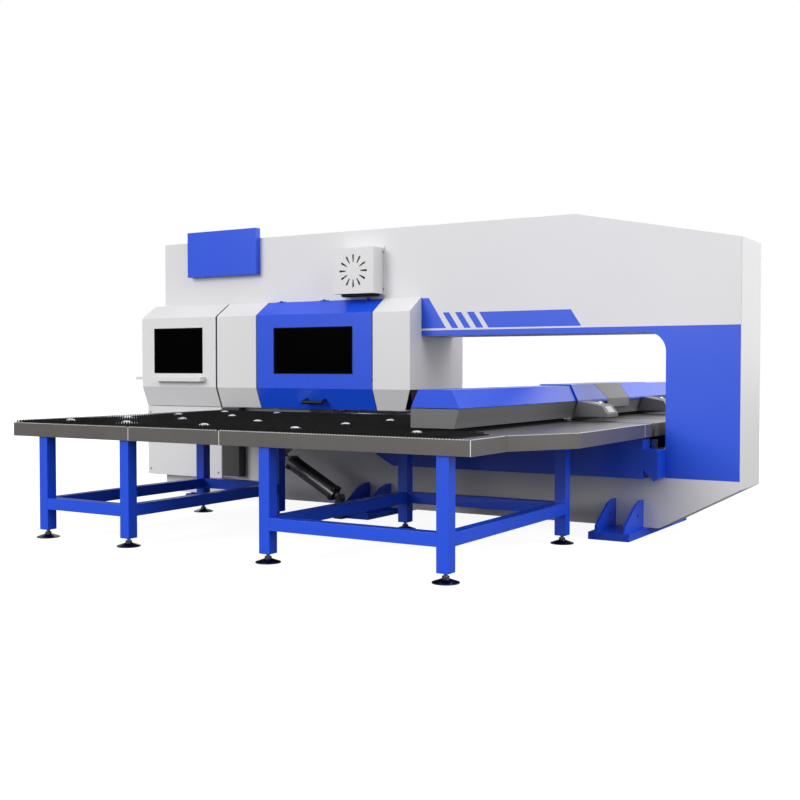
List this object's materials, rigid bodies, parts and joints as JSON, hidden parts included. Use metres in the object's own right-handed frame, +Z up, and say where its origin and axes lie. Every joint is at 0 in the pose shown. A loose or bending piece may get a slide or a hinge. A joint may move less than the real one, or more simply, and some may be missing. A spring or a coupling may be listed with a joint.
{
  "type": "cnc turret punch press",
  "caption": "Closed-frame sheet metal punching machine with twin tool turrets, brush table, cross beam with clamp carriage and a lift-up door.",
  "frame": {"origin": "centre of the bounding box, on the floor", "axes": "+X from the console towards the rear column, +Y across the machine away from the door side, +Z up"},
  "size_m": [5.567, 5.3466, 2.444],
  "materials": {
    "body_paint": "light grey textured enamel",
    "blue_paint": "gloss blue enamel",
    "console_paint": "light grey enamel",
    "grey_paint": "mid grey enamel",
    "dark_paint": "dark grey enamel",
    "table_steel": "warm grey enamel on folded sheet",
    "machined_steel": "machined",
    "hard_steel": "ground",
    "bearing_bronze": "turned",
    "cast_housing": "painted casting",
    "chrome_foot": "plated",
    "cylinder_tube": "anodised",
    "screen_glass": "black glossy",
    "window_pane": "smoked, opaque at this depth",
    "handle_plastic": "moulded",
    "belt_rubber": "moulded",
    "brush_board": "moulded brush carrier",
    "motor_paint": "black enamel"
  },
  "bodies": {
    "root": {"frame_plate_near": "body_paint", "frame_plate_far": "body_paint", "frame_webs": "body_paint", "base_blocks": "blue_paint", "sign_board": "blue_paint", "fan_box": "body_paint", "fan_duct": "dark_paint", "console_cover": "console_paint", "console_screen": "screen_glass", "console_shelves": "console_paint", "front_covers": "console_paint", "far_cover": "console_paint", "end_panels": "console_paint", "lower_cabinet": "console_paint", "door_hinges": "machined_steel", "bearing_housings": "cast_housing", "bearings": "bearing_bronze", "turret_belts": "belt_rubber", "servo_drives": "motor_paint", "table_near_left": "table_steel", "table_near_middle": "table_steel", "table_near_right": "table_steel", "table_centre": "table_steel", "table_far_left": "table_steel", "table_far_right": "table_steel", "table_legs": "blue_paint", "table_rails": "blue_paint", "table_feet": "chrome_foot", "brush_mats": "brush_board", "ball_units": "chrome_foot", "flap_mounts": "dark_paint", "side_girders": "blue_paint", "y_guides": "hard_steel"},
    "door": {"door_shell": "blue_paint", "door_window": "window_pane", "door_handle": "handle_plastic"},
    "upper_turret": {"upper_turret_disc": "machined_steel", "punch_holders": "hard_steel", "upper_spindle": "machined_steel"},
    "lower_turret": {"lower_turret_disc": "machined_steel", "die_holders": "hard_steel", "lower_spindle": "machined_steel"},
    "drive": {"drive_shaft": "machined_steel"},
    "ram": {"ram": "hard_steel"},
    "beam": {"beam_core": "body_paint", "beam_feet": "machined_steel", "beam_cover": "blue_paint", "beam_skirt": "grey_paint", "x_rails": "hard_steel"},
    "carriage": {"carriage_plate": "machined_steel", "carriage_centre": "grey_paint", "carriage_sides": "blue_paint", "arm_housings": "grey_paint", "clamp_bodies": "machined_steel"},
    "jaws": {"clamp_jaws": "hard_steel"},
    "flap": {"flap_plate": "table_steel", "flap_board": "brush_board"},
    "barrel": {"cylinder_barrel": "cylinder_tube"},
    "rod": {"cylinder_rod": "chrome_foot"},
    "fan": {"fan_rotor": "handle_plastic"}
  },
  "joints": [
    {"name": "door_hinge", "type": "hinge", "parent": "root", "child": "door", "pos_m": [-0.735, -0.268, 1.79], "axis": [-1, 0, 0], "range_deg": [0, 37]},
    {"name": "upper_turret_spin", "type": "hinge", "parent": "root", "child": "upper_turret", "pos_m": [-0.3115, 0, 0.935], "axis": [0, 0, 1], "continuous": true},
    {"name": "lower_turret_spin", "type": "hinge", "parent": "root", "child": "lower_turret", "pos_m": [-0.3115, 0, 0.807], "axis": [0, 0, 1], "continuous": true},
    {"name": "drive_shaft_spin", "type": "hinge", "parent": "root", "child": "drive", "pos_m": [-0.7915, 0, 0.9], "axis": [0, 0, 1], "continuous": true},
    {"name": "ram_stroke", "type": "slide", "parent": "root", "child": "ram", "axis": [0, 0, -1], "range_m": [0, 0.032]},
    {"name": "beam_travel", "type": "slide", "parent": "root", "child": "beam", "axis": [1, 0, 0], "range_m": [-0.9, 0.3]},
    {"name": "carriage_travel", "type": "slide", "parent": "beam", "child": "carriage", "axis": [0, 1, 0], "range_m": [-1.75, 0.75]},
    {"name": "clamp_jaw_hinge", "type": "hinge", "parent": "carriage", "child": "jaws", "pos_m": [1.1835, 0.512, 0.8495], "axis": [0, 1, 0], "range_deg": [0, 2.5]},
    {"name": "chute_flap_hinge", "type": "hinge", "parent": "root", "child": "flap", "pos_m": [-0.6415, -0.846, 0.79], "axis": [0, 1, 0], "range_deg": [0, 30]},
    {"name": "cylinder_pivot", "type": "hinge", "parent": "root", "child": "barrel", "pos_m": [-0.2765, -0.7, 0.17], "axis": [0, 1, 0], "range_deg": [-0.5, 5.3]},
    {"name": "piston_stroke", "type": "slide", "parent": "barrel", "child": "rod", "axis": [-0.879, 0, 0.4768], "range_m": [-0.002, 0.1853]},
    {"name": "fan_spin", "type": "hinge", "parent": "root", "child": "fan", "pos_m": [-0.3385, -0.325, 2.009], "axis": [0, 1, 0], "continuous": true}
  ],
  "couplings": [
    {"joint": "lower_turret_spin", "follows": "upper_turret_spin", "ratio": 1},
    {"joint": "drive_shaft_spin", "follows": "upper_turret_spin", "ratio": 3},
    {"joint": "cylinder_pivot", "follows": "chute_flap_hinge", "ratio": 0.16},
    {"joint": "piston_stroke", "follows": "chute_flap_hinge", "m_per_rad": 0.35}
  ]
}
